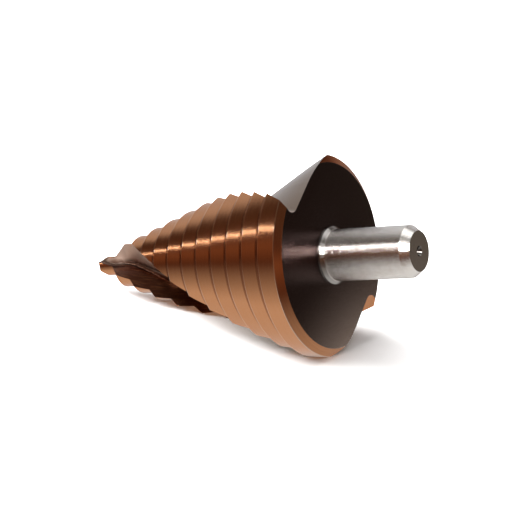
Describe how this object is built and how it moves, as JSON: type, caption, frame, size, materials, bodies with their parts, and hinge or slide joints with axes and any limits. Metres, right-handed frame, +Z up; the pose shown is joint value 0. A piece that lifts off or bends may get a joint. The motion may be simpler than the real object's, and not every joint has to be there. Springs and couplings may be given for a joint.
{
  "type": "step drill",
  "caption": "Conical step drill bit with stepped cylindrical lands, spiral flutes, a small pilot point and a plain round shank, lying on its side.",
  "frame": {"origin": "centre of the footprint box, on the surface the drill lies on", "axes": "+X along the drill's length towards the shank end, +Z up, +Y across the drill; the drill's own axis lies in the XZ plane and rises 14.8 degrees towards the shank"},
  "size_m": [0.0752, 0.039, 0.0367],
  "materials": {
    "step_drill": "fine-ground tool steel with a copper-bronze coating on the stepped head and bare bright steel on the shank"
  },
  "bodies": {
    "root": {"step_drill": "step_drill"}
  },
  "joints": []
}
